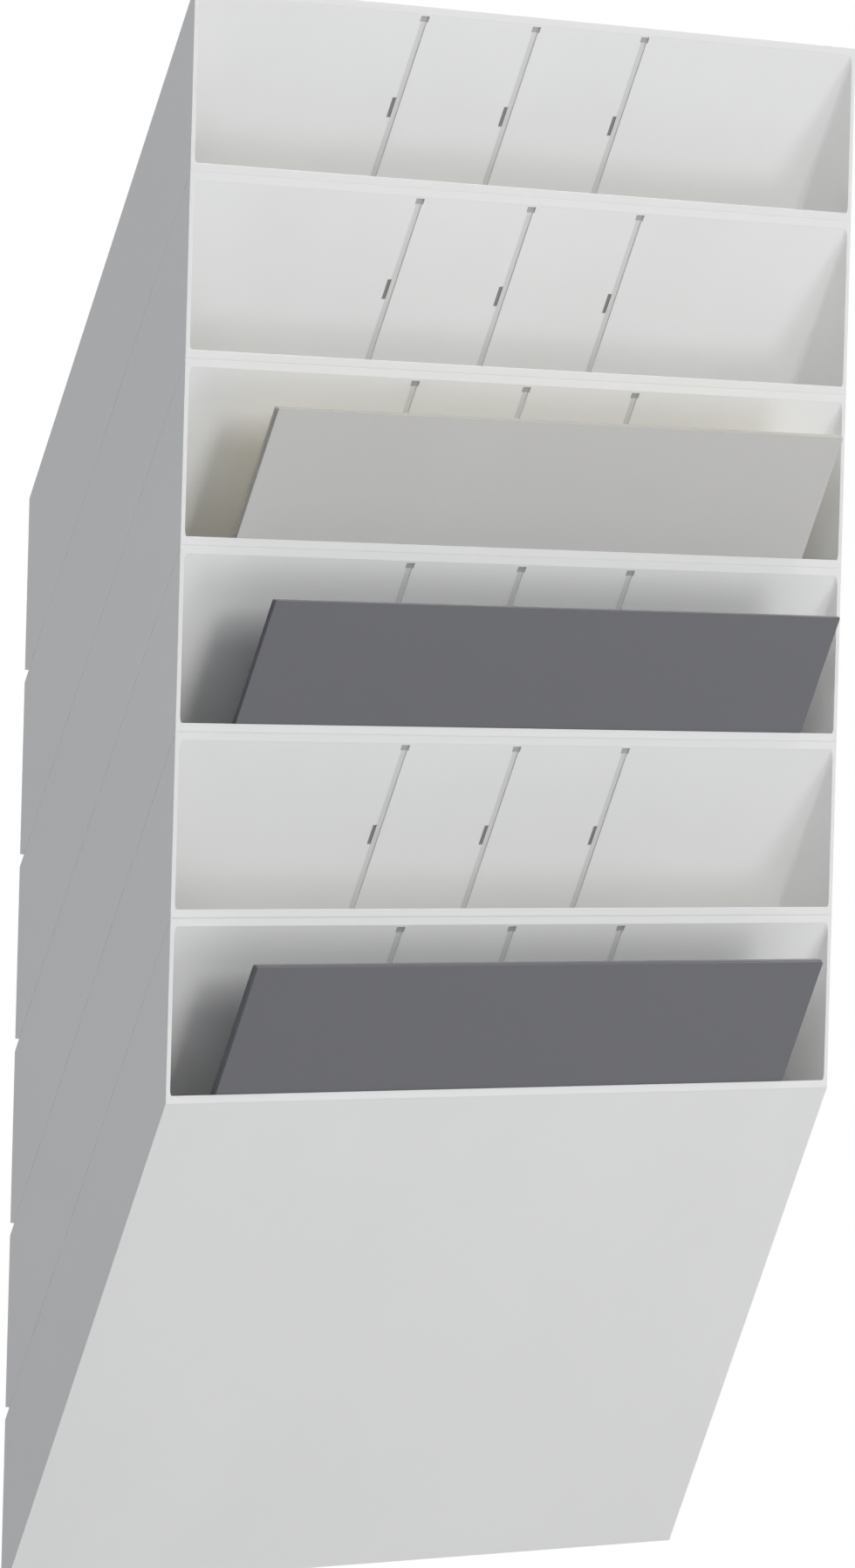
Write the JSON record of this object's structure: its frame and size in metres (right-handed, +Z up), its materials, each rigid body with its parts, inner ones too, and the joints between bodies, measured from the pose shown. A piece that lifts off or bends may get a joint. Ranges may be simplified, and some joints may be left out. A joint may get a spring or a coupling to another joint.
{
  "type": "literature holder",
  "caption": "Wall-hung literature holder of slanted open-fronted pocket boxes stacked one above the other, with A4 leaflets lying sideways in some pockets.",
  "frame": {"origin": "on the wall face, at the middle of the width, at the centre of all the keyhole entries", "axes": "+X along the wall, to the right for a person facing the holder; +Y into the wall; +Z up"},
  "size_m": [0.346, 0.0824, 0.5218],
  "materials": {
    "box_plastic": "satin moulded polystyrene, light grey",
    "leaflet_light": "uncoated light grey cover",
    "leaflet_dark": "uncoated dark grey cover"
  },
  "bodies": {
    "boxes": {"pocket_box_1": "box_plastic", "pocket_box_2": "box_plastic", "pocket_box_3": "box_plastic", "pocket_box_4": "box_plastic", "pocket_box_5": "box_plastic", "pocket_box_6": "box_plastic"},
    "leaflets_light": {"leaflets_light": "leaflet_light"},
    "leaflets_dark_upper": {"leaflets_dark_upper": "leaflet_dark"},
    "leaflets_dark_lower": {"leaflets_dark_lower": "leaflet_dark"}
  },
  "joints": [
    {"name": "leaflets_light_lift", "type": "slide", "parent": "boxes", "child": "leaflets_light", "axis": [0, -0.3695, 0.9292], "range_m": [0, 0.2]},
    {"name": "leaflets_dark_upper_lift", "type": "slide", "parent": "boxes", "child": "leaflets_dark_upper", "axis": [0, -0.3695, 0.9292], "range_m": [0, 0.2]},
    {"name": "leaflets_dark_lower_lift", "type": "slide", "parent": "boxes", "child": "leaflets_dark_lower", "axis": [0, -0.3695, 0.9292], "range_m": [0, 0.2]}
  ]
}
